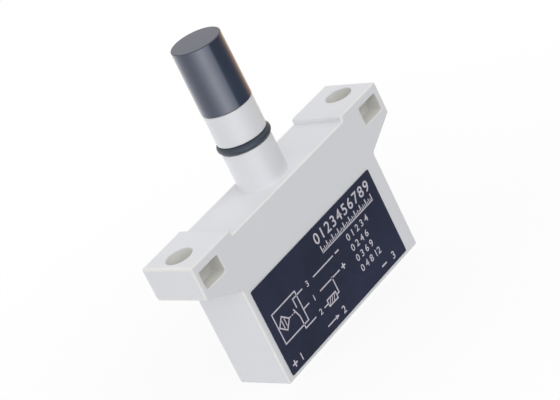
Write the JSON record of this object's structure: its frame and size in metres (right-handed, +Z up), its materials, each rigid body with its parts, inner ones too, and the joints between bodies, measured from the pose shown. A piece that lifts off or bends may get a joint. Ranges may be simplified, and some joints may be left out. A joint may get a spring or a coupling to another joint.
{
  "type": "proximity sensor",
  "caption": "Flat T-shaped inductive proximity sensor: two drilled ears, a round sensing tube with a sealing ring and dark sensing cap, and screw terminals in its base.",
  "frame": {"origin": "centre of the housing's bottom rim, on the axis of the sensing tube", "axes": "+Z up along the sensing tube to the sensing face, +X along the two ears, -Y out of the front face that carries the label"},
  "size_m": [0.0724, 0.0154, 0.0727],
  "materials": {
    "housing": "fine satin moulded surface, off-white",
    "cap": "smooth satin, slate grey",
    "seal": "smooth dark rubber",
    "label": "printed film, dark navy with pale grey line work",
    "terminal_block": "glass-filled, dull",
    "brass": "rolled strip",
    "steel": "bright zinc plated",
    "board_laminate": "green solder mask",
    "ferrite": "dull sintered",
    "copper": "enamelled copper",
    "resin": "cast",
    "natural_plastic": "unpigmented nylon",
    "capacitor_ceramic": "dull",
    "chip_package": "moulded epoxy"
  },
  "bodies": {
    "sensor_body": {"housing": "housing", "sensing_cap": "cap", "sealing_ring": "seal", "rating_label": "label", "terminal_block": "terminal_block", "core_carrier": "natural_plastic", "pot_core": "ferrite", "coil_bobbin": "natural_plastic", "coil_winding": "copper", "coil_pin_1": "copper", "coil_pin_2": "copper", "tube_resin": "resin", "circuit_board": "board_laminate", "oscillator_chip": "chip_package", "output_transistor": "chip_package", "voltage_regulator": "chip_package", "suppressor_diode": "chip_package", "polarity_diode": "chip_package", "supply_capacitor": "capacitor_ceramic", "smoothing_capacitor": "capacitor_ceramic", "tuning_capacitor": "capacitor_ceramic", "resistor_1": "chip_package", "resistor_2": "chip_package", "resistor_3": "chip_package", "terminal_strip_1": "brass", "terminal_strip_2": "brass", "terminal_strip_3": "brass"},
    "clamp_1": {"clamp_plate_1": "steel"},
    "screw_1": {"terminal_screw_1": "steel"},
    "clamp_2": {"clamp_plate_2": "steel"},
    "screw_2": {"terminal_screw_2": "steel"},
    "clamp_3": {"clamp_plate_3": "steel"},
    "screw_3": {"terminal_screw_3": "steel"}
  },
  "joints": [
    {"name": "clamp_travel_1", "type": "slide", "parent": "sensor_body", "child": "clamp_1", "axis": [0, 0, -1], "range_m": [0, 0.002]},
    {"name": "screw_turn_1", "type": "hinge", "parent": "clamp_1", "child": "screw_1", "pos_m": [-0.01613, 0, 0.0076], "axis": [0, 0, -1], "range_deg": [0, 1440]},
    {"name": "clamp_travel_2", "type": "slide", "parent": "sensor_body", "child": "clamp_2", "axis": [0, 0, -1], "range_m": [0, 0.002]},
    {"name": "screw_turn_2", "type": "hinge", "parent": "clamp_2", "child": "screw_2", "pos_m": [0, 0, 0.0076], "axis": [0, 0, -1], "range_deg": [0, 1440]},
    {"name": "clamp_travel_3", "type": "slide", "parent": "sensor_body", "child": "clamp_3", "axis": [0, 0, -1], "range_m": [0, 0.002]},
    {"name": "screw_turn_3", "type": "hinge", "parent": "clamp_3", "child": "screw_3", "pos_m": [0.01613, 0, 0.0076], "axis": [0, 0, -1], "range_deg": [0, 1440]}
  ],
  "couplings": [
    {"joint": "screw_turn_1", "follows": "clamp_travel_1", "rad_per_m": 12566},
    {"joint": "screw_turn_2", "follows": "clamp_travel_2", "rad_per_m": 12566},
    {"joint": "screw_turn_3", "follows": "clamp_travel_3", "rad_per_m": 12566}
  ]
}
